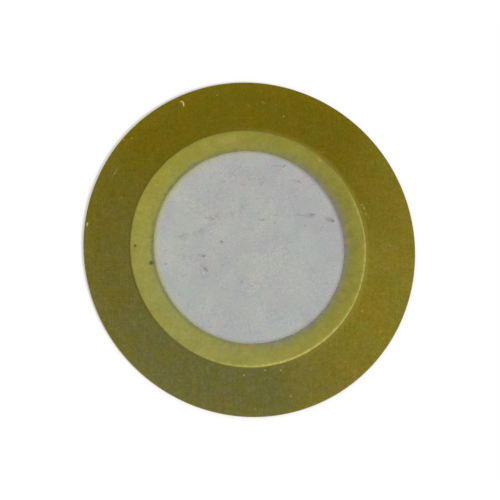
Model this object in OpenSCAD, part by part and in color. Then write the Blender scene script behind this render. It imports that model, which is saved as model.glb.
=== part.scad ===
// Piezo disc, 35 mm: the bending element of a buzzer, contact pickup or knock sensor.
//
// A round brass plate carries a thin disc of piezo ceramic. The ceramic has a fired silver
// electrode on each face, and a film of adhesive bonds its underside to the brass.
// The brass is one terminal, and the round silver field on top is the other.
//
// Frame: origin at the centre of the brass plate's underside, +Z up through the ceramic.

/* [Brass plate] */
// Diameter of the brass plate
plate_d = 35; // [26:0.1:50]
// Thickness of the brass sheet
plate_t = 0.3; // [0.2:0.01:0.6]
// Radius that the punch leaves round the plate's upper edge
plate_upper_edge_r = 0.08; // [0.02:0.01:0.12]
// Radius that tumbling leaves round the plate's lower edge
plate_lower_edge_r = 0.04; // [0.02:0.01:0.07]

/* [Adhesive film] */
// Thickness of the cured adhesive under the lower electrode
adhesive_t = 0.02; // [0.01:0.005:0.05]
// How far the adhesive stops short of the ceramic's edge
adhesive_setback = 0.1; // [0.05:0.01:0.3]

/* [Ceramic disc] */
// Diameter of the ceramic disc
ceramic_d = 25; // [21:0.1:34]
// Thickness of the ceramic disc
ceramic_t = 0.18; // [0.15:0.01:0.4]
// Radius that lapping leaves round the ceramic's upper edge
ceramic_upper_edge_r = 0.1; // [0.02:0.01:0.12]
// Radius that lapping leaves round the ceramic's lower edge
ceramic_lower_edge_r = 0.03; // [0.01:0.01:0.05]
// Sideways offset of the ceramic's centre from the plate's
ceramic_offset_x = -0.18; // [-0.3:0.01:0.3]
// Front-to-back offset of the ceramic's centre from the plate's
ceramic_offset_y = -0.01; // [-0.3:0.01:0.3]

/* [Silver electrodes] */
// Thickness of the upper print of fired silver
upper_electrode_t = 0.015; // [0.01:0.005:0.03]
// Diameter of the upper electrode
upper_electrode_d = 20; // [8:0.1:24]
// Sideways offset of the upper electrode's centre from the ceramic's
upper_electrode_offset_x = -0.03; // [-0.3:0.01:0.3]
// Front-to-back offset of the upper electrode's centre from the ceramic's
upper_electrode_offset_y = 0.14; // [-0.3:0.01:0.3]
// Thickness of the lower print of fired silver
lower_electrode_t = 0.015; // [0.01:0.005:0.03]
// Width of the bare ceramic left round the lower electrode
lower_electrode_margin = 0.5; // [0.35:0.05:2]

/* [Hidden] */

// Facets round each circle
$fn = 180;

// Height of each layer's underside above the underside of the brass
adhesive_z = plate_t;
lower_electrode_z = adhesive_z + adhesive_t;
ceramic_z = lower_electrode_z + lower_electrode_t;
upper_electrode_z = ceramic_z + ceramic_t;

// The adhesive fills the step round the lower print, up to the ceramic
adhesive_d = ceramic_d - 2 * adhesive_setback;
adhesive_full_t = adhesive_t + lower_electrode_t;
lower_electrode_d = ceramic_d - 2 * lower_electrode_margin;

// What a cut runs past the face that it opens
cut_over = 0.1;

// Round disc standing on z = 0, with its upper and lower edges rounded
module rounded_disc(d, t, upper_r, lower_r) {
    rotate_extrude() {
        difference() {
            square([d / 2, t]);
            translate([d / 2 - upper_r, t - upper_r]) outside_arc(upper_r);
            translate([d / 2 - lower_r, lower_r]) mirror([0, 1]) outside_arc(lower_r);
        }
    }
}

// Quarter of a square's corner that lies outside an arc of radius r about the origin
module outside_arc(r) {
    difference() {
        square(r + cut_over);
        circle(r);
    }
}

// Moves what follows onto the ceramic's centre line
module on_ceramic_axis() {
    translate([ceramic_offset_x, ceramic_offset_y, 0]) children();
}

// Plate punched from hard brass sheet, rounded by the punch above and by tumbling below
module brass_plate() {
    color("#7c7028") rounded_disc(plate_d, plate_t, plate_upper_edge_r, plate_lower_edge_r);
}

// Cured adhesive on the brass, with a shallow seat that the lower electrode lies in
module adhesive_film() {
    color("#c9b878") on_ceramic_axis() {
        difference() {
            translate([0, 0, adhesive_z]) cylinder(d = adhesive_d, h = adhesive_full_t);
            translate([0, 0, lower_electrode_z]) {
                cylinder(d = lower_electrode_d, h = lower_electrode_t + cut_over);
            }
        }
    }
}

// Silver printed and fired onto the ceramic's underside
module lower_electrode() {
    color("#b4b5b4") on_ceramic_axis() {
        translate([0, 0, lower_electrode_z]) {
            cylinder(d = lower_electrode_d, h = lower_electrode_t);
        }
    }
}

// Pressed, sintered and lapped disc of piezo ceramic
module ceramic_disc() {
    color("#928c46") on_ceramic_axis() {
        translate([0, 0, ceramic_z]) {
            rounded_disc(ceramic_d, ceramic_t, ceramic_upper_edge_r, ceramic_lower_edge_r);
        }
    }
}

// Silver printed and fired onto the ceramic's upper face
module upper_electrode() {
    color("#adaeab") on_ceramic_axis() {
        translate([upper_electrode_offset_x, upper_electrode_offset_y, upper_electrode_z]) {
            cylinder(d = upper_electrode_d, h = upper_electrode_t);
        }
    }
}

brass_plate();
adhesive_film();
lower_electrode();
ceramic_disc();
upper_electrode();
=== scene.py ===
"""A piezo disc: a brass plate with a silvered ceramic disc glued to its upper face."""

import math
import random

import bpy
from mathutils import Matrix, Vector, noise


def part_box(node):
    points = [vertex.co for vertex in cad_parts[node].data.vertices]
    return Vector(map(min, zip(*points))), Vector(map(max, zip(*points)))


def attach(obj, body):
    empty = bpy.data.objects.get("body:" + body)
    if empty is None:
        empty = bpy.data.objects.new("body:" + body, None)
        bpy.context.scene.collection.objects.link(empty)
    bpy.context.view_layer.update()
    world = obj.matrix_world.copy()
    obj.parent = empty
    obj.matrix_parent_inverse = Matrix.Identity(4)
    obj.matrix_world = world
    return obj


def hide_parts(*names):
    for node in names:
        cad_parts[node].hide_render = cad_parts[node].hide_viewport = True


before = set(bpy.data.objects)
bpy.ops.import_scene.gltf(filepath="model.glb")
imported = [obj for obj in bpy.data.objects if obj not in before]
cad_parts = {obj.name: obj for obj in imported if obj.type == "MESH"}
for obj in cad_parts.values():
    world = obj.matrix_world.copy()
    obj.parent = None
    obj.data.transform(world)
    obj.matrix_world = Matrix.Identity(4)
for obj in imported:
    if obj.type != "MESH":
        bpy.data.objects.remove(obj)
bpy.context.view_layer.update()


# ---- Brass plate -------------------------------------------------------------------------------
# A disc punched from half-hard rolled brass strip, 0.3 mm thick. The punch draws its upper edge
# down into a small round and tears the lower part of the cut. It is the lower contact of the
# piezo disc, and carries all that is glued and printed above it.

MM = 0.001

plate_low, plate_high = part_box("brass_plate")
plate_centre = (plate_low + plate_high) / 2
plate_r = (plate_high.x - plate_low.x) / 2
plate_steps = 1440
plate_upper_edge_r = 0.08 * MM
plate_lower_edge_r = 0.04 * MM
# The torn part of the cut edge: from where to where it lies above the underside, and how deep
# and how wide its flutes are.
torn_top = 0.17 * MM
torn_bottom = 0.05 * MM
torn_depth = 0.014 * MM
flute_pitch = 0.22 * MM


def turned(name, centre, outline, steps, moved=None):
    """A solid turned round an upright line. Its outline, as radius and height, runs from the
    line at the bottom to the line at the top, and moved may then shift each point."""
    points, rings = [], []
    for radius, height in outline:
        around = steps if radius > 0 else 1
        rings.append(range(len(points), len(points) + around))
        for step in range(around):
            turn = math.tau * step / steps
            point = Vector((centre.x + radius * math.cos(turn), centre.y + radius * math.sin(turn), height))
            points.append(moved(point) if moved else point)
    faces = []
    for lower, upper in zip(rings, rings[1:]):
        for step in range(steps):
            after = (step + 1) % steps
            corners = [lower[step % len(lower)], lower[after % len(lower)]]
            corners += [upper[after % len(upper)], upper[step % len(upper)]]
            faces.append(list(dict.fromkeys(corners)))
    mesh = bpy.data.meshes.new(name)
    mesh.from_pydata(points, [], faces)
    mesh.shade_smooth()
    mesh.set_sharp_from_angle(angle=math.radians(50))
    piece = bpy.data.objects.new(name, mesh)
    bpy.context.scene.collection.objects.link(piece)
    return piece


def rounding(radius, height, wide, high, start, end, count):
    """The outline of an edge rounding about a point, from one angle to the other in degrees."""
    angles = [math.radians(start + (end - start) * i / count) for i in range(count + 1)]
    return [(radius + wide * math.cos(a), height + high * math.sin(a)) for a in angles]


def punched(point):
    """Tears the lower part of the cut edge into fine upright flutes."""
    out = Vector((point.x - plate_centre.x, point.y - plate_centre.y, 0))
    if out.length < plate_r - 0.001 * MM or not torn_bottom < point.z < torn_top:
        return point
    share = (point.z - torn_bottom) / (torn_top - torn_bottom)
    flute = noise.noise(Vector((out.x, out.y, point.z * 0.2)) / flute_pitch)
    depth = torn_depth * math.sin(math.pi * share) ** 0.5 * (0.6 + 0.8 * flute)
    return point - out.normalized() * max(0.0, depth)


# A few more rings lie close beside each rounding, so that the flats keep their even shading.
plate_z, plate_top = plate_low.z, plate_high.z
plate_outline = [(0, plate_z), (plate_r * 0.5, plate_z), (plate_r - 0.4 * MM, plate_z)]
plate_outline += [(plate_r - plate_lower_edge_r - 0.02 * MM, plate_z)]
plate_outline += rounding(plate_r - plate_lower_edge_r, plate_z + plate_lower_edge_r,
                          plate_lower_edge_r, plate_lower_edge_r, -90, 0, 4)
plate_outline += [(plate_r, torn_bottom + (torn_top - torn_bottom) * i / 8) for i in range(9)]
plate_outline += rounding(plate_r - plate_upper_edge_r, plate_top - plate_upper_edge_r,
                          plate_upper_edge_r, plate_upper_edge_r, 0, 90, 8)
plate_outline += [(plate_r - plate_upper_edge_r - 0.03 * MM, plate_top), (plate_r - 0.6 * MM, plate_top)]
plate_outline += [(plate_r * 0.5, plate_top), (0, plate_top)]
brass_disc = turned("brass_disc", plate_centre, plate_outline, plate_steps, punched)


def linear(code):
    """The linear colour that a shader takes, from an sRGB hex code."""
    parts = [int(code[i:i + 2], 16) / 255 for i in (0, 2, 4)]
    return [p / 12.92 if p <= 0.04045 else ((p + 0.055) / 1.055) ** 2.4 for p in parts] + [1.0]


def add(tree, kind, inputs=None, **settings):
    """Adds a node with its settings, and links or fills its inputs. A node given as an input
    stands for its first output."""
    node = tree.nodes.new("ShaderNode" + kind)
    for name, value in settings.items():
        setattr(node, name, value)
    for name, value in (inputs or {}).items():
        by_name = [s for s in node.inputs if s.enabled and s.name == name]
        socket = node.inputs[name] if isinstance(name, int) else by_name[0]
        if isinstance(value, bpy.types.Node):
            value = next(s for s in value.outputs if s.enabled)
        if isinstance(value, bpy.types.NodeSocket):
            tree.links.new(value, socket)
        else:
            socket.default_value = value
    return node


def finished(name, **surface):
    """A new material: its node tree, its shader, and places on the object in millimetres."""
    material = bpy.data.materials.new(name)
    material.use_nodes = True
    tree = material.node_tree
    tree.nodes.clear()
    shader = add(tree, "BsdfPrincipled", {key.replace("_", " "): v for key, v in surface.items()})
    add(tree, "OutputMaterial", {"Surface": shader})
    metres = add(tree, "TexCoord").outputs["Object"]
    place = add(tree, "VectorMath", {0: metres, "Scale": 1 / MM}, operation="SCALE")
    return material, tree, shader, place


def plan(tree, place, centre):
    """Where a place lies from a centre, seen from straight above, and how far out that is."""
    offset = add(tree, "VectorMath", {0: place, 1: centre / MM}, operation="SUBTRACT")
    offset = add(tree, "VectorMath", {0: offset, 1: (1, 1, 0)}, operation="MULTIPLY")
    return offset, add(tree, "VectorMath", {0: offset}, operation="LENGTH")


def ragged_place(tree, place, pattern, scale, detail, sway):
    """The place pushed about at random, by up to half of sway each way, in millimetres, so that
    what is drawn on it gets a ragged edge."""
    push = add(tree, "TexNoise", {"Vector": pattern, "Scale": scale, "Detail": detail}).outputs["Color"]
    push = add(tree, "VectorMath", {0: push, 1: (0.5, 0.5, 0.5)}, operation="SUBTRACT")
    push = add(tree, "VectorMath", {0: push, "Scale": sway}, operation="SCALE")
    return add(tree, "VectorMath", {0: place, 1: push}, operation="ADD")


def marks(tree, place, listed):
    """How strongly a place lies on one of the listed marks. Each has its centre, half length and
    half width in millimetres, its turn in degrees and its strength."""
    found = None
    for x, y, length, width, turn, strength in listed:
        own = add(tree, "Mapping", {"Vector": place, "Location": (x, y, 0), "Scale": (length, width, 1000),
                                    "Rotation": (0, 0, math.radians(turn))}, vector_type="TEXTURE")
        away = add(tree, "VectorMath", {0: own}, operation="LENGTH")
        mark = add(tree, "MapRange", {"Value": away, "From Min": 1.0, "From Max": 0.25,
                                      "To Max": strength}, interpolation_type="SMOOTHSTEP")
        found = add(tree, "Math", {0: found, 1: mark}, operation="MAXIMUM") if found else mark
    return found


def surface(tree, shader, colour, relief, firmness, depth, rough=None):
    """Gives a shader its colour, a relief so many millimetres deep and, where it varies, its
    roughness."""
    bump = add(tree, "Bump", {"Height": relief, "Strength": firmness, "Distance": depth * MM})
    for name, node in (("Base Color", colour), ("Roughness", rough), ("Normal", bump)):
        if node:
            tree.links.new(next(s for s in node.outputs if s.enabled), shader.inputs[name])


# Rolled brass with years of thin tarnish: a dull olive gold that spreads what it mirrors, with pale
# scuffs where the tarnish is off. It is greyer and greener to the front, a painted reflection, and
# more golden to the right, painted light on the side toward the lamp.
brass, tree, shader, place = finished("tarnished_rolled_brass", Metallic=1.0)

# The patterns of the two faces are taken far apart, so that each face has its own.
height = add(tree, "SeparateXYZ", {"Vector": place}).outputs["Z"]
upper_face = add(tree, "Math", {0: height, 1: 0.15}, operation="GREATER_THAN")
ground = add(tree, "VectorMath", {0: (0, 0, 40.0), 1: upper_face, 2: place}, operation="MULTIPLY_ADD")

# The colour changes round the plate, with borders that wander by a few millimetres: a painted
# reflection greys it to the front, and painted light makes it more golden to the right.
cloud = add(tree, "TexNoise", {"Vector": ground, "Scale": 0.16, "Detail": 3.0})
wander = add(tree, "MapRange", {"Value": cloud, "From Min": 0.3, "From Max": 0.7,
                                "To Min": -0.12, "To Max": 0.12})
colour = add(tree, "Mix", {"Factor": cloud, "A": linear("6d600f"), "B": linear("6b5f12")}, data_type="RGBA")
out = plan(tree, place, plate_centre)[1]
beyond = add(tree, "Math", {0: out, 1: 11.0}, operation="MAXIMUM")
for turn, start, full, tone in ((257, -0.47, 1.1, "686638"), (342, 0.49, 1.02, "7e7225")):
    toward = (math.cos(math.radians(turn)), math.sin(math.radians(turn)), 0)
    reach = add(tree, "VectorMath", {0: place, 1: toward}, operation="DOT_PRODUCT")
    reach = add(tree, "Math", {0: reach, 1: beyond}, operation="DIVIDE")
    reach = add(tree, "Math", {0: reach, 1: wander}, operation="ADD")
    share = add(tree, "MapRange", {"Value": reach, "From Min": start, "From Max": full})
    colour = add(tree, "Mix", {"Factor": share, "A": colour, "B": linear(tone)}, data_type="RGBA")
# The outermost 1.5 mm is painted a shade brighter all round, a painted sheen of the rim.
painted_sheen = add(tree, "MapRange", {"Value": out, "From Min": 15.8, "From Max": 17.4, "To Max": 0.06})
colour = add(tree, "Mix", {"Factor": painted_sheen, "A": colour, "B": linear("a08f26")}, data_type="RGBA")

# Blooms of it 1 to 3 mm wide tint the metal, some more orange and some more green.
for scale, seed, tint in ((0.42, 3.0, (1.05, 0.965, 0.90)), (0.55, 9.0, (0.94, 1.02, 1.08))):
    bloom = add(tree, "TexNoise", {"Vector": ground, "W": seed, "Scale": scale, "Detail": 4.0},
                noise_dimensions="4D")
    share = add(tree, "MapRange", {"Value": bloom, "From Min": 0.48, "From Max": 0.66})
    tint = add(tree, "Mix", {"Factor": share, "A": (1, 1, 1, 1), "B": (*tint, 1)}, data_type="RGBA")
    colour = add(tree, "VectorMath", {0: colour, 1: tint}, operation="MULTIPLY")

# Rolling lines run front to back. Real ones lie some 0.03 mm apart, drawn here at 0.12 mm. Over
# them lie blotches 0.8 mm wide, a mottle of 0.4 mm, and the grain of the metal, 0.05 mm wide,
# drawn at 0.15 mm.
drawn = add(tree, "VectorMath", {0: ground, 1: (8.0, 0.35, 1.0)}, operation="MULTIPLY")
lines = add(tree, "TexNoise", {"Vector": drawn, "Scale": 1.0, "Detail": 2.0})
blotch = add(tree, "TexNoise", {"Vector": ground, "Scale": 1.2, "Detail": 1.0})
mottle = add(tree, "TexNoise", {"Vector": ground, "Scale": 2.6, "Detail": 5.0, "Roughness": 0.62})
grain = add(tree, "TexNoise", {"Vector": ground, "Scale": 6.5, "Detail": 2.0})
hues = add(tree, "TexNoise", {"Vector": ground, "Scale": 0.9, "Detail": 2.0, "Roughness": 0.45})
hues = add(tree, "VectorMath", {0: hues.outputs["Color"], 1: (0.12, 0.04, 1.2), 2: (0.94, 0.98, 0.40)},
           operation="MULTIPLY_ADD")
colour = add(tree, "VectorMath", {0: colour, 1: hues}, operation="MULTIPLY")
for pattern, depth in ((lines, 0.10), (blotch, 0.08), (mottle, 0.32), (grain, 0.36)):
    swing = Vector((2, 2, 5)) * depth
    level = add(tree, "VectorMath", {0: pattern, 1: swing, 2: Vector((1, 1, 1)) - swing / 2},
                operation="MULTIPLY_ADD")
    colour = add(tree, "VectorMath", {0: colour, 1: level}, operation="MULTIPLY")

# Hairlines from handling, each crossing a few millimetres and then fading out.
scratched = None
for turn, seed in ((38, 2.0), (104, 5.0), (152, 8.0)):
    along = add(tree, "Mapping", {"Vector": ground, "Location": (seed, 0, 0), "Scale": (0.05, 1.1, 1.0),
                                  "Rotation": (0, 0, math.radians(turn))})
    wave = add(tree, "TexNoise", {"Vector": along, "Scale": 1.0, "Detail": 0.0})
    wave = add(tree, "Math", {0: wave, 1: 0.5}, operation="SUBTRACT")
    wave = add(tree, "Math", {0: wave}, operation="ABSOLUTE")
    gap = add(tree, "TexNoise", {"Vector": ground, "W": seed, "Scale": 0.3}, noise_dimensions="4D")
    gap = add(tree, "MapRange", {"Value": gap, "From Min": 0.55, "From Max": 0.70, "To Max": 0.6})
    line = add(tree, "MapRange", {"Value": wave, "From Min": 0.006, "From Max": 0.001, "To Max": gap})
    scratched = add(tree, "Math", {0: scratched, 1: line}, operation="MAXIMUM") if scratched else line

# Specks 0.12 mm wide, where the tarnish has been picked off down to brighter brass, and fainter
# ones, a little smaller, that lie closer together.
specks = None
for scale, edge, kept, most in ((0.6, 0.05, 0.80, 1.0), (1.4, 0.09, 0.72, 0.45)):
    cells = add(tree, "TexVoronoi", {"Vector": ground, "Scale": scale, "Randomness": 1.0})
    speck = add(tree, "MapRange", {"Value": cells.outputs["Distance"], "From Min": edge,
                                   "From Max": edge * 0.4, "To Max": most})
    chosen = add(tree, "SeparateColor", {"Color": cells.outputs["Color"]})
    chosen = add(tree, "Math", {0: chosen, 1: kept}, operation="GREATER_THAN")
    speck = add(tree, "Math", {0: speck, 1: chosen}, operation="MULTIPLY")
    specks = add(tree, "Math", {0: specks, 1: speck}, operation="MAXIMUM") if specks else speck

# The marks that show most: a hooked scratch, knocks by the rim, and scuffs beside the ceramic.
ragged = ragged_place(tree, place, ground, scale=9.0, detail=2.0, sway=0.16)
scuffs = marks(tree, ragged, (
    (-7.33, 15.22, 0.22, 0.11, 0, 1.0), (-7.14, 14.97, 0.38, 0.12, 99, 1.0),
    (3.45, 14.05, 0.15, 0.10, 60, 0.45), (-17.15, 2.05, 0.14, 0.30, 0, 0.7),
    (-12.55, 11.20, 0.12, 0.09, 0, 0.5), (-13.40, 11.00, 0.10, 0.09, 0, 0.5),
    (-14.25, 7.60, 0.95, 0.09, 60, 0.2), (11.80, -6.20, 0.22, 0.12, 40, 0.3),
    (13.70, -8.35, 0.16, 0.10, 0, 0.26), (13.95, -9.05, 0.12, 0.10, 0, 0.27),
    (12.04, 4.60, 0.30, 0.12, 108, 0.36), (12.24, 4.02, 0.32, 0.08, 118, 0.35),
    (11.78, 4.97, 0.13, 0.10, 0, 0.4), (11.70, 4.26, 0.12, 0.10, 0, 0.3),
    (-0.75, -13.20, 0.10, 0.08, 0, 0.7), (1.48, -12.64, 0.12, 0.09, 20, 0.6),
    (3.14, -12.60, 0.12, 0.08, 0, 0.5), (10.00, -11.55, 0.14, 0.10, 30, 0.18),
    (4.20, -15.30, 0.26, 0.16, -15, 0.21), (1.35, 15.37, 0.42, 0.18, -28, 0.09),
    (-0.27, 15.04, 0.34, 0.16, -28, 0.11), (-12.20, -8.20, 0.26, 0.17, 35, 0.11),
    (0.42, -16.65, 0.25, 0.14, -26, 0.14), (14.10, -4.38, 0.24, 0.12, 0, 0.16),
    (15.47, -6.20, 0.30, 0.20, 0, 0.09)))
scuffs = add(tree, "Math", {0: scuffs, 1: upper_face}, operation="MULTIPLY")

# Beside the ceramic, mostly on its right, the brass is a little paler.
ceramic_low, ceramic_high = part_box("ceramic_disc")
ceramic_centre = (ceramic_low + ceramic_high) / 2
ceramic_r = (ceramic_high.x - ceramic_low.x) / 2
from_ceramic, ceramic_away = plan(tree, place, ceramic_centre)
brightened_near_ceramic = add(tree, "MapRange", {"Value": ceramic_away, "From Min": 13.0, "From Max": 12.3},
            interpolation_type="SMOOTHSTEP")
side = add(tree, "VectorMath", {0: from_ceramic, 1: (0.08, 0.02, 0)}, operation="DOT_PRODUCT")
side = add(tree, "MapRange", {"Value": side, "From Min": -0.1, "From Max": 0.9, "To Max": 0.42})
brightened_near_ceramic = add(tree, "Math", {0: brightened_near_ceramic, 1: side}, operation="MULTIPLY")
brightened_near_ceramic = add(tree, "Math", {0: brightened_near_ceramic, 1: upper_face}, operation="MULTIPLY")
for share, tone in ((scratched, "8a7f34"), (specks, "a29755"), (brightened_near_ceramic, "989042"), (scuffs, "c6b66c")):
    colour = add(tree, "Mix", {"Factor": share, "A": colour, "B": linear(tone)}, data_type="RGBA")

# The cut edge: bright and smooth where the punch burnished it, dull and darker where it tore.
edge = add(tree, "MapRange", {"Value": out, "From Min": plate_r / MM - 0.03,
                              "From Max": plate_r / MM - 0.005})
torn = add(tree, "MapRange", {"Value": height, "From Min": 0.19, "From Max": 0.16})
cut = add(tree, "Mix", {"Factor": torn, "A": linear("96873a"), "B": linear("6b5f26")}, data_type="RGBA")
streaks = add(tree, "VectorMath", {0: place, 1: (5.0, 5.0, 0.6)}, operation="MULTIPLY")
streaks = add(tree, "TexNoise", {"Vector": streaks, "Scale": 1.0, "Detail": 3.0})
streaks = add(tree, "MapRange", {"Value": streaks, "From Min": 0.3, "From Max": 0.7,
                                 "To Min": 0.8, "To Max": 1.2})
cut = add(tree, "VectorMath", {0: cut, "Scale": streaks}, operation="SCALE")
colour = add(tree, "Mix", {"Factor": edge, "A": colour, "B": cut}, data_type="RGBA")

rough = add(tree, "MapRange", {"Value": mottle, "From Min": 0.3, "From Max": 0.7,
                               "To Min": 0.42, "To Max": 0.54})
worn = add(tree, "Math", {0: scuffs, 1: scratched}, operation="MAXIMUM")
rough = add(tree, "MapRange", {"Value": worn, "To Min": rough, "To Max": 0.34})
relief = add(tree, "Math", {0: mottle, 1: lines}, operation="ADD")
relief = add(tree, "Math", {0: relief, 1: worn}, operation="SUBTRACT")
surface(tree, shader, colour, relief, 0.5, 0.012, rough)

brass_disc.data.materials.append(brass)
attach(brass_disc, "root")
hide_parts("brass_plate")


# ---- Adhesive film -----------------------------------------------------------------------------
# Epoxy that was rolled on thin and cured hot under pressure. It bonds the silvered underside of
# the ceramic to the brass, and a little of it is squeezed out round the ceramic's foot.

film_low, film_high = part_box("adhesive_film")
film_centre = (film_low + film_high) / 2
seat_low, seat_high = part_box("lower_electrode")
seat_r = (seat_high.x - seat_low.x) / 2
# The bead that is squeezed out: how wide it is, how far it climbs the ceramic, and the gap that
# keeps it off the ceramic's wall.
bead_width = 0.08 * MM
bead_height = 0.05 * MM
bead_gap = 0.003 * MM


def out_of_round(out):
    """How far the ceramic's edge stands out from its nominal circle: a little oval, and ground
    a shade flat at the front."""
    turn = math.atan2(out.y, out.x) - math.radians(185)
    flat = (turn + math.radians(72)) % math.tau - math.pi
    stands = 0.09 * math.cos(turn) + 0.033 * math.cos(2 * turn) - 0.065
    return (stands - 0.065 * math.exp(-(flat / 0.45) ** 2)) * MM


def squeezed(point):
    """Lets the bead run out further in some places than in others, and most on the right."""
    out = Vector((point.x - film_centre.x, point.y - film_centre.y, 0))
    if out.length < ceramic_r:
        return point
    past = max(0.0, out.length - ceramic_r - bead_gap)
    turn = math.atan2(out.y, out.x)
    spread = 1.0 + 0.5 * math.cos(turn - math.radians(10))
    spread += 0.7 * noise.noise(out / (3.0 * MM)) + 0.4 * noise.noise(out / (0.7 * MM))
    return point + out.normalized() * (past * (max(0.15, spread) - 1.0) + out_of_round(out))


film_z, film_top = film_low.z, film_high.z
bead_foot = ceramic_r + bead_gap
film_outline = [(0, film_z), (ceramic_r * 0.8, film_z), (bead_foot, film_z)]
film_outline += [(bead_foot + bead_width, film_z)]
film_outline += [(bead_foot + bead_width * (1 - i / 10) ** 1.6, film_z + bead_height * (i / 10) ** 1.9)
                 for i in range(1, 11)]
film_outline += [(bead_foot, film_top), (seat_r + 0.2 * MM, film_top), (seat_r, film_top)]
film_outline += [(seat_r, seat_low.z), (0, seat_low.z)]
adhesive_bead = turned("adhesive_bead", film_centre, film_outline, 720, squeezed)

# Cured epoxy: a smooth, dulled amber olive, cloudy with trapped dust and fine bubbles. On the
# left it is so thin that the brass darkens it; on the right more was squeezed out, and is paler.
epoxy, tree, shader, place = finished("cured_epoxy", Roughness=0.5, IOR=1.5, Specular_IOR_Level=0.2)
cloud = add(tree, "TexNoise", {"Vector": place, "Scale": 1.4, "Detail": 4.0})
cloud = add(tree, "MapRange", {"Value": cloud, "From Min": 0.35, "From Max": 0.65})
thick = add(tree, "VectorMath", {0: place, 1: (0.07, -0.01, 0)}, operation="DOT_PRODUCT")
thick = add(tree, "MapRange", {"Value": thick, "From Min": -0.5, "From Max": 0.8})
thin_film = add(tree, "Mix", {"Factor": cloud, "A": linear("7c6e0a"), "B": linear("837614")},
                data_type="RGBA")
full_film = add(tree, "Mix", {"Factor": cloud, "A": linear("7d742c"), "B": linear("857d33")},
                data_type="RGBA")
colour = add(tree, "Mix", {"Factor": thick, "A": thin_film, "B": full_film}, data_type="RGBA")
bubbles = add(tree, "TexVoronoi", {"Vector": place, "Scale": 4.0})
bubbles = add(tree, "MapRange", {"Value": bubbles, "From Min": 0.12, "From Max": 0.2, "To Min": 0.5})
colour = add(tree, "Mix", {"Factor": bubbles, "A": linear("9c9152"), "B": colour}, data_type="RGBA")
surface(tree, shader, colour, cloud, 0.4, 0.02)

adhesive_bead.data.materials.append(epoxy)
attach(adhesive_bead, "root")
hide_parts("adhesive_film")


# ---- Lower electrode ---------------------------------------------------------------------------
# Silver paste printed on the ceramic's underside and fired. It lies bedded in the adhesive, out
# of sight, so the solid stays as it is and takes only its finish.

# Fired silver paste: matt and nearly white, with the fine grain of the flakes sintered in it.
buried_silver, tree, shader, place = finished("buried_fired_silver", Metallic=1.0, Roughness=0.6)
flakes = add(tree, "TexNoise", {"Vector": place, "Scale": 12.0, "Detail": 3.0})
colour = add(tree, "Mix", {"Factor": flakes, "A": linear("a3a4a1"), "B": linear("bcbcb8")},
             data_type="RGBA")
surface(tree, shader, colour, flakes, 0.4, 0.005)

lower_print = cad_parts["lower_electrode"]
lower_print.data.materials.clear()
lower_print.data.materials.append(buried_silver)


# ---- Ceramic disc ------------------------------------------------------------------------------
# Lead zirconate titanate, pressed, sintered and lapped to 0.18 mm. Lapping leaves its upper edge
# rolled off unevenly, and handling has broken small chips out of it.

ceramic_steps = 1440
ceramic_foot_r = 0.03 * MM
# How far in from its rim the face is ground out of true.
ground_in = 1.2 * MM
# The rolled upper edge, as pairs in millimetres: how far in from the rim, and how far down.
shoulder = [(0.01, 0.134), (0.025, 0.114), (0.045, 0.095), (0.07, 0.078), (0.10, 0.062),
            (0.14, 0.045), (0.18, 0.032), (0.23, 0.020), (0.29, 0.011), (0.36, 0.005),
            (0.44, 0.0015), (0.52, 0.0)]
# Chips that show: where round the edge, in degrees, and how wide each bite is, in millimetres.
chips = [(52.5, 0.34), (24.0, 0.30), (19.5, 0.22), (262.0, 0.20), (277.0, 0.18), (141.0, 0.20),
         (305.0, 0.24)]
chance = random.Random(11)
chips += [(chance.uniform(0, 360), chance.uniform(0.07, 0.16)) for _ in range(34)]
bites = []
for turn, size in chips:
    away = ceramic_r + 0.42 * size * MM
    bites.append((Vector((ceramic_centre.x + away * math.cos(math.radians(turn)),
                          ceramic_centre.y + away * math.sin(math.radians(turn)),
                          ceramic_high.z + 0.25 * size * MM)), size * MM))


def lapped(point):
    """Grinds the rim out of round, rolls the upper edge off by more in some places than in
    others, and widest on the right, and bites the chips out."""
    out = Vector((point.x - ceramic_centre.x, point.y - ceramic_centre.y, 0))
    inset = ceramic_r - out.length
    if inset < ground_in:
        near_rim = min(1.0, 1.333 - inset / (0.9 * MM))
        wider = 0.7 * math.cos(math.atan2(out.y, out.x) + math.radians(5))
        wider *= inset * (1 - inset / ground_in)
        point = point + out.normalized() * (out_of_round(out) * near_rim - wider)
    if point.z > ceramic_low.z + 0.02 * MM:
        worn = 0.9 + 0.4 * noise.noise(out / (4.0 * MM)) + 0.2 * noise.noise(out / (0.9 * MM))
        drop = (ceramic_high.z - point.z) * (min(1.1, max(0.4, worn)) - 1.0)
        point = point - Vector((0, 0, drop))
    for middle, size in bites:
        gap = (point - middle).length
        if 0 < gap < size:
            point = middle + (point - middle) * (size / gap)
    return point


stone_z, stone_top = ceramic_low.z, ceramic_high.z
stone_outline = [(0, stone_z), (ceramic_r * 0.6, stone_z), (ceramic_r - 0.3 * MM, stone_z)]
stone_outline += rounding(ceramic_r - ceramic_foot_r, stone_z + ceramic_foot_r,
                          ceramic_foot_r, ceramic_foot_r, -90, 0, 3)
stone_outline += [(ceramic_r - inset * MM, stone_top - drop * MM) for inset, drop in shoulder]
shoulder_width = shoulder[-1][0]
stone_outline += [(ceramic_r - (shoulder_width + 0.06 * i) * MM, stone_top) for i in range(1, 12)]
stone_outline += [(ceramic_r * 0.87, stone_top), (ceramic_r * 0.8, stone_top), (ceramic_r * 0.5, stone_top)]
stone_outline += [(0, stone_top)]
ceramic_plate = turned("ceramic_plate", ceramic_centre, stone_outline, ceramic_steps, lapped)

# Lapped ceramic, dense and almost matt: olive yellow, with a faint cloudiness of the sintering,
# fine pits that the lapping opened, and a smoother rolled edge with a painted highlight along it.
lapped_pzt, tree, shader, place = finished("lapped_pzt_ceramic", Specular_IOR_Level=0.3)
print_low, print_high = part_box("upper_electrode")
print_centre = (print_low + print_high) / 2
print_r = (print_high.x - print_low.x) / 2

from_print, print_away = plan(tree, place, print_centre)

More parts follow.
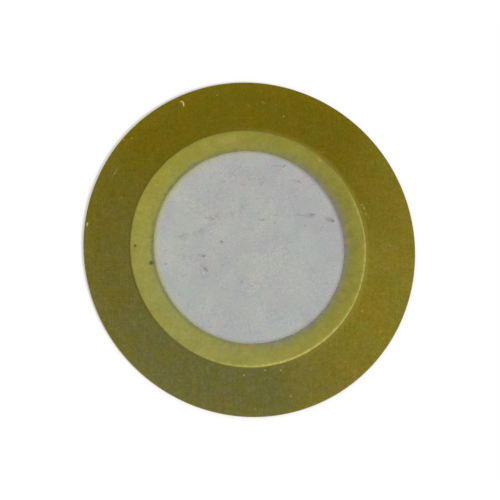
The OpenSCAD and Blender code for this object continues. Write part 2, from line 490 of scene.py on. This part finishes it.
# Colour of the firing: paler and yellower to the left, and greyer toward the front left.
cloud = add(tree, "TexNoise", {"Vector": place, "Scale": 0.3, "Detail": 4.0})
wander = add(tree, "MapRange", {"Value": cloud, "From Min": 0.3, "From Max": 0.7,
                                "To Min": -3.0, "To Max": 3.0})
reach = add(tree, "VectorMath", {0: place, 1: (-0.95, -0.31, 0)}, operation="DOT_PRODUCT")
reach = add(tree, "Math", {0: reach, 1: wander}, operation="ADD")
share = add(tree, "MapRange", {"Value": reach, "From Min": -11.0, "From Max": 12.0})
colour = add(tree, "Mix", {"Factor": share, "A": linear("868027"), "B": linear("9b9532")}, data_type="RGBA")
reach = add(tree, "VectorMath", {0: place, 1: (-0.6, -0.8, 0)}, operation="DOT_PRODUCT")
share = add(tree, "MapRange", {"Value": reach, "From Min": 2.0, "From Max": 13.0})
colour = add(tree, "Mix", {"Factor": share, "A": colour, "B": linear("94914a")}, data_type="RGBA")
# On the right, silver that spread in the firing leaves a grey bloom round the print. Elsewhere,
# and most on the left, a thin dark margin of burnt binder follows it, ragged outside and patchy,
# and the ceramic beyond it is a touch greener.
side = add(tree, "VectorMath", {0: from_print, 1: (-0.098, 0.026, 0)}, operation="DOT_PRODUCT")
left = add(tree, "MapRange", {"Value": side, "From Min": -0.9, "From Max": 0.9, "To Min": 0.12})
right = add(tree, "MapRange", {"Value": side, "From Min": 0.3, "From Max": -0.7})
grey = add(tree, "MapRange", {"Value": print_away, "From Min": 10.92, "From Max": 9.85},
           interpolation_type="SMOOTHSTEP")
grey = add(tree, "Math", {0: grey, 1: right}, operation="MULTIPLY")
dulled = add(tree, "MapRange", {"Value": print_away, "From Min": 11.8, "From Max": 10.7, "To Max": 0.35})
dulled = add(tree, "Math", {0: dulled, 1: right}, operation="MULTIPLY")
greened = add(tree, "MapRange", {"Value": print_away, "From Min": 11.7, "From Max": 10.6, "To Max": 0.13})
greened = add(tree, "Math", {0: greened, 1: left}, operation="MULTIPLY")
patchy = add(tree, "TexNoise", {"Vector": place, "Scale": 0.6, "Detail": 3.0})
patchy = add(tree, "MapRange", {"Value": patchy, "From Min": 0.35, "From Max": 0.65,
                                "To Min": 0.65, "To Max": 1.1})
left = add(tree, "Math", {0: left, 1: patchy}, operation="MULTIPLY")
border = add(tree, "TexNoise", {"Vector": place, "Scale": 1.9, "Detail": 3.0, "Roughness": 0.75})
border = add(tree, "MapRange", {"Value": border, "From Min": 0.3, "From Max": 0.7,
                                "To Min": 10.22, "To Max": 10.52})
margin = add(tree, "Math", {0: print_away, 1: border}, operation="SUBTRACT")
margin = add(tree, "MapRange", {"Value": margin, "From Min": 0.17, "From Max": -0.13, "To Max": left},
             interpolation_type="SMOOTHSTEP")
for share, tone in ((dulled, "706e44"), (greened, "7a9070"), (grey, "7a777a"), (margin, "78794e")):
    colour = add(tree, "Mix", {"Factor": share, "A": colour, "B": linear(tone)}, data_type="RGBA")

# Clouds of 0.5 to 1.5 mm in warmer and cooler tones, some yellower than others, and over them
# grain of 0.2 mm and the grit of the crystals, some 0.01 mm wide, drawn at 0.15 mm.
for scale, seed, least, tone in ((0.9, 1.0, 0.50, "98862e"), (0.8, 6.0, 0.48, "86893a")):
    bloom = add(tree, "TexNoise", {"Vector": place, "W": seed, "Scale": scale, "Detail": 4.0},
                noise_dimensions="4D")
    share = add(tree, "MapRange", {"Value": bloom, "From Min": least, "From Max": 0.74, "To Max": 0.7})
    colour = add(tree, "Mix", {"Factor": share, "A": colour, "B": linear(tone)}, data_type="RGBA")
hues = add(tree, "TexNoise", {"Vector": place, "Scale": 1.6, "Detail": 2.0}).outputs["Color"]
hues = add(tree, "VectorMath", {0: hues, 1: (0.18, 0, 0.75), 2: (0.91, 1, 0.625)},
           operation="MULTIPLY_ADD")
colour = add(tree, "VectorMath", {0: colour, 1: hues}, operation="MULTIPLY")
grain = add(tree, "TexNoise", {"Vector": place, "Scale": 1.3, "Detail": 6.0, "Roughness": 0.85})
level = add(tree, "VectorMath", {0: grain, 1: (0.86, 0.86, 1.4), 2: (0.57, 0.57, 0.3)},
            operation="MULTIPLY_ADD")
colour = add(tree, "VectorMath", {0: colour, 1: level}, operation="MULTIPLY")
grit = add(tree, "TexNoise", {"Vector": place, "Scale": 6.0, "Detail": 2.0})
level = add(tree, "MapRange", {"Value": grit, "From Min": 0.3, "From Max": 0.7,
                               "To Min": 0.93, "To Max": 1.07})
colour = add(tree, "VectorMath", {0: colour, "Scale": level}, operation="SCALE")
# Pits from lapping are some 0.02 mm wide, drawn here at 0.07 mm.
pits = add(tree, "TexVoronoi", {"Vector": place, "Scale": 3.0})
pit = add(tree, "MapRange", {"Value": pits.outputs["Distance"], "From Min": 0.16, "From Max": 0.06})
chosen = add(tree, "SeparateColor", {"Color": pits.outputs["Color"]})
chosen = add(tree, "MapRange", {"Value": chosen, "From Min": 0.75, "From Max": 1.0, "To Max": 0.5})
pit = add(tree, "Math", {0: pit, 1: chosen}, operation="MULTIPLY")
colour = add(tree, "Mix", {"Factor": pit, "A": colour, "B": linear("5f5a2a")}, data_type="RGBA")

# The marks that show most: dark stains, warm and pale clouds, the pale scars of the chips, and
# painted highlights where the rolled edge beside the chips catches the lamp.
ragged = ragged_place(tree, place, place, scale=7.0, detail=2.0, sway=0.25)
stains = marks(tree, ragged, (
    (-10.50, -1.80, 0.42, 0.34, 20, 0.9), (-12.20, -0.10, 0.20, 0.26, 0, 0.9),
    (-11.30, 0.80, 0.15, 0.12, 0, 0.2), (1.70, 10.75, 0.60, 0.07, 100, 0.4),
    (-10.15, 6.75, 0.16, 0.12, 0, 0.3), (9.30, -5.40, 0.50, 0.10, 10, 0.2)))
warm = marks(tree, ragged, ((-0.60, 11.20, 0.90, 0.55, 0, 0.5), (8.0, 7.6, 0.8, 0.4, -40, 0.25)))
# Pale marks: chip scars and pale clouds, and painted highlights on the rolled edge by the chips.
pale = marks(tree, ragged, (
    (-2.65, 11.30, 1.80, 0.65, 15, 0.3), (10.95, 4.90, 0.24, 0.11, 0, 1.0),
    (11.33, 4.15, 0.55, 0.18, 108, 0.4), (9.20, 5.55, 0.20, 0.14, 0, 0.3),
    (-2.20, -12.20, 0.16, 0.12, 0, 0.9), (7.25, 9.50, 0.34, 0.20, 140, 0.55),
    (10.70, -1.55, 0.80, 0.08, 0, 0.25)))
# The rolled edge is smoother than the lapped face, and carries a painted highlight in a broken
# line that is brightest at the front right, toward the lamp.
slope = add(tree, "SeparateXYZ", {"Vector": add(tree, "NewGeometry").outputs["Normal"]}).outputs["Z"]
rolled = add(tree, "MapRange", {"Value": slope, "From Min": 0.99, "From Max": 0.92})
steep = add(tree, "MapRange", {"Value": slope, "From Min": 0.3, "From Max": 0.6})
rolled = add(tree, "Math", {0: rolled, 1: steep}, operation="MULTIPLY")
painted_sheen = add(tree, "VectorMath", {0: place, 1: (0.059, -0.053, 0)}, operation="DOT_PRODUCT")
painted_sheen = add(tree, "MapRange", {"Value": painted_sheen, "From Min": 0.1, "From Max": 0.65, "To Max": 0.52})
front = add(tree, "VectorMath", {0: place, 1: (0.016, -0.079, 0)}, operation="DOT_PRODUCT")
front = add(tree, "MapRange", {"Value": front, "From Min": 0.92, "From Max": 1.0, "To Max": 0.27})
painted_sheen = add(tree, "Math", {0: painted_sheen, 1: front}, operation="ADD")
broken = add(tree, "TexNoise", {"Vector": place, "Scale": 2.6, "Detail": 2.0})
broken = add(tree, "MapRange", {"Value": broken, "From Min": 0.36, "From Max": 0.64,
                                "To Min": 0.6, "To Max": 1.5})
painted_sheen = add(tree, "Math", {0: painted_sheen, 1: broken}, operation="MULTIPLY")
painted_highlight = add(tree, "Math", {0: rolled, 1: painted_sheen}, operation="MULTIPLY", use_clamp=True)
for share, tone in ((stains, "4f4a16"), (warm, "96803a"), (pale, "a9a356"), (painted_highlight, "c0b558")):
    colour = add(tree, "Mix", {"Factor": share, "A": colour, "B": linear(tone)}, data_type="RGBA")

rough = add(tree, "MapRange", {"Value": grain, "From Min": 0.3, "From Max": 0.7,
                               "To Min": 0.48, "To Max": 0.6})
rough = add(tree, "MapRange", {"Value": rolled, "To Min": rough, "To Max": 0.25})
relief = add(tree, "Math", {0: grain, 1: pit}, operation="SUBTRACT")
surface(tree, shader, colour, relief, 0.5, 0.012, rough)

ceramic_plate.data.materials.append(lapped_pzt)
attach(ceramic_plate, "root")
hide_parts("ceramic_disc")


# ---- Upper electrode ---------------------------------------------------------------------------
# Silver paste pressed through a screen onto the ceramic and fired, 0.015 mm thick. Its edge
# feathers out and wanders a little with the screen's mesh. It is the upper contact.

print_steps = 1440
# How wide a strip thins out at the edge, how thick its very edge is, and how far the paste ran
# beyond the screen, in millimetres.
feather = 0.16 * MM
lip = 0.002 * MM
ran_out = 0.06


def screened(point):
    """Lets the edge of the print wander in and out with the screen."""
    out = Vector((point.x - print_centre.x, point.y - print_centre.y, 0))
    if out.length < print_r - 1.2 * feather:
        return point
    wander = 0.028 * noise.noise(out / (1.3 * MM)) + 0.035 * noise.noise(out / (0.28 * MM))
    return point + out.normalized() * (wander + ran_out) * MM


paste_z, paste_top = print_low.z, print_high.z
paste_outline = [(0, paste_z), (print_r * 0.7, paste_z), (print_r - 0.02 * MM, paste_z)]
paste_outline += [(print_r, paste_z + lip / 2)]
paste_outline += rounding(print_r - feather, paste_z + lip, feather, paste_top - paste_z - lip, 0, 90, 7)
paste_outline += [(print_r - 1.5 * feather, paste_top), (print_r * 0.7, paste_top), (0, paste_top)]
upper_print = turned("upper_print", print_centre, paste_outline, print_steps, screened)

# Fired silver, unpolished: light grey and matt, with a faint cloth-like mottle from the screen,
# a first yellow tarnish along one side, and grey smudges where it was touched and probed.
silver, tree, shader, place = finished("fired_silver_print", Metallic=1.0)
from_print, print_away = plan(tree, place, print_centre)
cloud = add(tree, "TexNoise", {"Vector": place, "Scale": 0.28, "Detail": 3.0})
cloud = add(tree, "MapRange", {"Value": cloud, "From Min": 0.35, "From Max": 0.65})
colour = add(tree, "Mix", {"Factor": cloud, "A": linear("adadad"), "B": linear("b1b3ae")}, data_type="RGBA")
# Tarnish creeps in from the edge, most on the left. Round the whole edge the paste is so thin
# that the ceramic darkens it, and at the back right the firing left it sooty.
side = add(tree, "VectorMath", {0: from_print, 1: (-0.094, 0.034, 0)}, operation="DOT_PRODUCT")
side = add(tree, "MapRange", {"Value": side, "From Min": -0.2, "From Max": 0.9})
tarnish = add(tree, "MapRange", {"Value": print_away, "From Min": 9.3, "From Max": 10.05, "To Max": side},
              interpolation_type="SMOOTHSTEP")
thin = add(tree, "MapRange", {"Value": print_away, "From Min": 9.7, "From Max": 10.08, "To Max": 0.6},
           interpolation_type="SMOOTHSTEP")
sooty = add(tree, "VectorMath", {0: from_print, 1: (0.087, 0.05, 0)}, operation="DOT_PRODUCT")
sooty = add(tree, "MapRange", {"Value": sooty, "From Min": 0.72, "From Max": 1.0, "To Max": 0.5})
sooty = add(tree, "MapRange", {"Value": print_away, "From Min": 9.65, "From Max": 10.03, "To Max": sooty})
for share, tone in ((tarnish, "b3b28c"), (thin, "949081"), (sooty, "847c80")):
    colour = add(tree, "Mix", {"Factor": share, "A": colour, "B": linear(tone)}, data_type="RGBA")

# The screen has some 0.08 mm between its threads, drawn here at 0.3 mm, and the paste over it
# is blotchy in patches of 0.3 to 1 mm.
weave = None
for turn in (22.5, 112.5):
    thread = add(tree, "Mapping", {"Vector": place, "Rotation": (0, 0, math.radians(turn))})
    thread = add(tree, "TexWave", {"Vector": thread, "Scale": 1.05, "Distortion": 1.2, "Detail": 2.0,
                                   "Detail Scale": 1.5})
    thread = thread.outputs["Fac"]
    weave = add(tree, "Math", {0: weave, 1: thread}, operation="MULTIPLY") if weave else thread
blotch = add(tree, "TexNoise", {"Vector": place, "Scale": 1.1, "Detail": 5.0, "Roughness": 0.62})
flakes = add(tree, "TexNoise", {"Vector": place, "Scale": 5.0, "Detail": 3.0, "Roughness": 0.6})
hues = add(tree, "TexNoise", {"Vector": place, "Scale": 1.0, "Detail": 3.0}).outputs["Color"]
hues = add(tree, "VectorMath", {0: hues, 1: (0.22, 0.02, 0.13), 2: (0.89, 0.99, 0.935)},
           operation="MULTIPLY_ADD")
colour = add(tree, "VectorMath", {0: colour, 1: hues}, operation="MULTIPLY")
# The firing left it a touch cooler and darker to the right, and a touch redder to the back.
for axis, start, end in (("X", (1.018, 1.018, 0.995, 1), (0.982, 0.982, 1.005, 1)),
                         ("Y", (0.991, 1.003, 1.001, 1), (1.009, 0.997, 0.999, 1))):
    across = add(tree, "SeparateXYZ", {"Vector": from_print}).outputs[axis]
    across = add(tree, "MapRange", {"Value": across, "From Min": -10.0, "From Max": 10.0})
    drift = add(tree, "Mix", {"Factor": across, "A": start, "B": end}, data_type="RGBA")
    colour = add(tree, "VectorMath", {0: colour, 1: drift}, operation="MULTIPLY")
# The flakes lie grainier in some patches, 1 to 2 mm wide, than in others.
patches = add(tree, "TexNoise", {"Vector": place, "Scale": 0.8, "Detail": 2.0})
patches = add(tree, "MapRange", {"Value": patches, "From Min": 0.42, "From Max": 0.62,
                                 "To Min": 0.55, "To Max": 1.5})
grainy = add(tree, "Math", {0: flakes, 1: 0.5}, operation="SUBTRACT")
grainy = add(tree, "Math", {0: grainy, 1: patches, 2: 0.5}, operation="MULTIPLY_ADD")
for pattern, depth in ((weave, 0.015), (cloud, 0.006), (blotch, 0.062), (grainy, 0.105)):
    level = add(tree, "MapRange", {"Value": pattern, "From Min": 0.25, "From Max": 0.75,
                                   "To Min": 1.0 - depth, "To Max": 1.0 + depth})
    colour = add(tree, "VectorMath", {0: colour, "Scale": level}, operation="SCALE")

# The grey smudges where it was touched and probed.
ragged = ragged_place(tree, place, place, scale=5.0, detail=3.0, sway=0.35)
smudges = marks(tree, ragged, (
    (6.45, 3.72, 0.42, 0.20, 10, 0.8), (6.20, 3.60, 0.85, 0.42, 0, 0.35),
    (5.20, 3.65, 0.90, 0.10, 0, 0.5), (8.60, 3.15, 0.42, 0.20, -12, 0.9),
    (8.30, 3.25, 0.75, 0.42, -8, 0.45), (-3.15, 0.60, 0.22, 0.20, 0, 0.8),
    (-5.05, -0.95, 0.30, 0.15, 5, 1.0), (-5.30, -0.85, 0.80, 0.28, 0, 0.3),
    (-6.60, -1.00, 0.90, 0.08, 2, 0.2), (-4.80, -2.30, 0.50, 0.22, -40, 0.8),
    (-5.00, -2.10, 0.75, 0.45, -40, 0.3), (5.05, 7.15, 0.26, 0.17, -30, 0.6),
    (4.40, 7.25, 0.70, 0.08, 0, 0.15), (3.45, 8.72, 0.28, 0.14, 30, 0.9),
    (2.70, 8.75, 0.80, 0.08, 0, 0.4), (3.00, 8.35, 0.50, 0.07, 0, 0.3),
    (1.20, 3.00, 0.50, 0.20, 0, 0.45), (0.80, 3.10, 0.30, 0.10, 0, 0.4),
    (2.60, 3.55, 0.50, 0.10, 0, 0.45), (-9.00, -1.90, 0.20, 0.20, 0, 0.6),
    (-1.00, -3.55, 0.26, 0.26, 0, 0.32), (7.95, -3.45, 0.24, 0.16, 0, 0.4),
    (5.70, 2.55, 0.20, 0.18, 0, 0.35), (-2.90, 6.90, 0.30, 0.18, 0, 0.3),
    (-8.60, 4.60, 0.55, 0.08, 0, 0.4), (-4.30, 7.30, 0.20, 0.16, 0, 0.3),
    (-4.85, 3.05, 0.20, 0.18, 0, 0.3), (-4.25, 3.00, 0.42, 0.20, 20, 0.25),
    (-5.95, 1.35, 0.40, 0.30, 0, 0.24), (-2.75, -8.20, 0.50, 0.24, 10, 0.18),
    (1.15, 6.80, 0.32, 0.20, 60, 0.35), (2.00, -3.90, 0.34, 0.16, 90, 0.22),
    (-7.20, -3.10, 0.28, 0.16, -35, 0.28), (-9.05, -0.50, 0.42, 0.14, 30, 0.25),
    (-6.60, -2.05, 0.22, 0.18, 100, 0.25), (5.10, -3.60, 0.24, 0.14, 65, 0.3),
    (-3.10, -1.85, 0.24, 0.14, 0, 0.35), (-0.50, -0.25, 0.36, 0.20, -45, 0.2),
    (-3.05, 4.85, 0.33, 0.14, 90, 0.25), (-7.60, -4.95, 0.22, 0.12, 90, 0.3),
    (-1.45, -1.25, 0.30, 0.12, -25, 0.25), (1.10, -5.85, 0.18, 0.13, 90, 0.3)))
# A patch of fine grey specks, as from a dirty thumb, runs up from the left towards the middle.
smear = marks(tree, place, (
    (-5.10, 1.65, 0.90, 0.60, 30, 1.0), (-3.90, 2.95, 1.30, 0.70, 35, 0.9),
    (-2.20, 3.50, 0.90, 0.55, 20, 0.6), (-1.10, 4.10, 0.80, 0.50, 50, 0.7),
    (-7.20, 1.00, 1.00, 0.55, 20, 0.7), (-0.90, 6.30, 0.60, 1.20, 0, 0.4),
    (1.20, 7.20, 0.80, 0.60, 40, 0.6)))
specks = add(tree, "TexNoise", {"Vector": place, "Scale": 3.2, "Detail": 2.0})
specks = add(tree, "MapRange", {"Value": specks, "From Min": 0.47, "From Max": 0.62,
                                "To Min": 0.12, "To Max": 0.85})
smear = add(tree, "Math", {0: smear, 1: specks}, operation="MULTIPLY")
for share, tone in ((smear, "979695"), (smudges, "878683")):
    colour = add(tree, "Mix", {"Factor": share, "A": colour, "B": linear(tone)}, data_type="RGBA")
# Dark pinholes up to 0.2 mm wide dot it, where bubbles burst in the paste, and pale dots as wide
# are painted glints, where flakes catch the light.
for aside, most, tone in ((0, 0.75, "83827f"), (50, 0.6, "d2d3cf")):
    spread = add(tree, "VectorMath", {0: ragged, 1: (aside, 0, 0)}, operation="ADD")
    cells = add(tree, "TexVoronoi", {"Vector": spread, "Scale": 1.2})
    dot = add(tree, "MapRange", {"Value": cells.outputs["Distance"], "From Min": 0.14, "From Max": 0.04})
    chosen = add(tree, "SeparateColor", {"Color": cells.outputs["Color"]})
    chosen = add(tree, "MapRange", {"Value": chosen, "From Min": 0.3, "From Max": 1.0, "To Max": most})
    dot = add(tree, "Math", {0: dot, 1: chosen}, operation="MULTIPLY")
    colour = add(tree, "Mix", {"Factor": dot, "A": colour, "B": linear(tone)}, data_type="RGBA")

rough = add(tree, "MapRange", {"Value": blotch, "From Min": 0.3, "From Max": 0.7,
                               "To Min": 0.55, "To Max": 0.66})
relief = add(tree, "MapRange", {"Value": weave, "To Max": 0.5})
relief = add(tree, "Math", {0: relief, 1: flakes}, operation="ADD")
surface(tree, shader, colour, relief, 0.5, 0.012, rough)

upper_print.data.materials.append(silver)
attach(upper_print, "root")
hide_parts("upper_electrode")


# ---- Floor -------------------------------------------------------------------------------------
# A broad sheet of matt white card, which the disc lies on, pressed 0.01 mm into its nap. Only the
# eye and mirrors see it as white as the paper is; it keeps the thin shadow of the plate.

nap = 0.01 * MM
glow_of_card = 0.26


def looked_at(tree):
    """1 for what the eye sees, also in a mirror or through glass, and 0 for the light that falls
    on things."""
    path = add(tree, "LightPath")
    seen = path.outputs["Is Camera Ray"]
    for kind in ("Is Glossy Ray", "Is Transmission Ray"):
        seen = add(tree, "Math", {0: seen, 1: path.outputs[kind]}, operation="MAXIMUM")
    return seen


bpy.ops.mesh.primitive_plane_add(size=4, location=(0, 0, nap))
floor = bpy.context.object
floor.name = "floor"
card = bpy.data.materials.new("white_card")
card.use_nodes = True
tree = card.node_tree
tree.nodes.clear()
extra = add(tree, "Math", {0: looked_at(tree), 1: glow_of_card}, operation="MULTIPLY")
matt = add(tree, "BsdfDiffuse", {"Color": (0.8, 0.8, 0.8, 1)})
glow = add(tree, "Emission", {"Color": (1, 1, 1, 1), "Strength": extra})
add(tree, "OutputMaterial", {"Surface": add(tree, "AddShader", {0: matt, 1: glow})})
floor.data.materials.append(card)


# ---- Light -------------------------------------------------------------------------------------
# A white tent lights the disc evenly, and one broad lamp from the right gives its edges their
# light and shade. The tent looks wholly white, but lights the disc with only part of that.

lit_by_tent = 0.62
lamp_breadth = math.radians(20)

world = bpy.data.worlds.new("white_tent")
world.use_nodes = True
bpy.context.scene.world = world
tree = world.node_tree
tree.nodes.clear()
strength = add(tree, "MapRange", {"Value": looked_at(tree), "To Min": lit_by_tent, "To Max": 1.0})
tent = add(tree, "Background", {"Color": (1, 1, 1, 1), "Strength": strength})
add(tree, "OutputWorld", {"Surface": tent})

# The broad lamp is two in one place. Mirrors show only the weaker of them, so that its glare
# leaves the metals their colour.
around, above = math.radians(-30), math.radians(43)
toward = Vector((math.cos(around) * math.cos(above), math.sin(around) * math.cos(above), math.sin(above)))
for name, energy, mirrored in (("side_lamp", 0.95, False), ("glint_lamp", 0.55, True)):
    lamp = bpy.data.lights.new(name, "SUN")
    lamp.energy = energy
    lamp.angle = lamp_breadth
    placed = bpy.data.objects.new(name, lamp)
    placed.visible_glossy = mirrored
    placed.rotation_euler = toward.to_track_quat("Z", "Y").to_euler()
    bpy.context.scene.collection.objects.link(placed)


# ---- Camera ------------------------------------------------------------------------------------
# It looks almost straight down with a long lens, and stands a little to the front and left of
# the disc.

around, off_upright = math.radians(217.25), math.radians(13.89)
back = Vector((math.sin(off_upright) * math.cos(around), math.sin(off_upright) * math.sin(around),
               math.cos(off_upright)))
right = Vector((0, 1, 0)).cross(back).normalized()
up = back.cross(right)
aim = Vector((-0.04, -0.10, 0)) * MM
stands_off = 400 * MM
lens = bpy.data.cameras.new("camera")
lens.lens = 277.8
lens.sensor_width = 36
camera = bpy.data.objects.new("camera", lens)
turned_to = Matrix((right, up, back)).transposed().to_4x4()
camera.matrix_world = Matrix.Translation(aim + back * stands_off) @ turned_to
bpy.context.scene.collection.objects.link(camera)
bpy.context.scene.camera = camera
bpy.context.scene.view_settings.view_transform = "Standard"
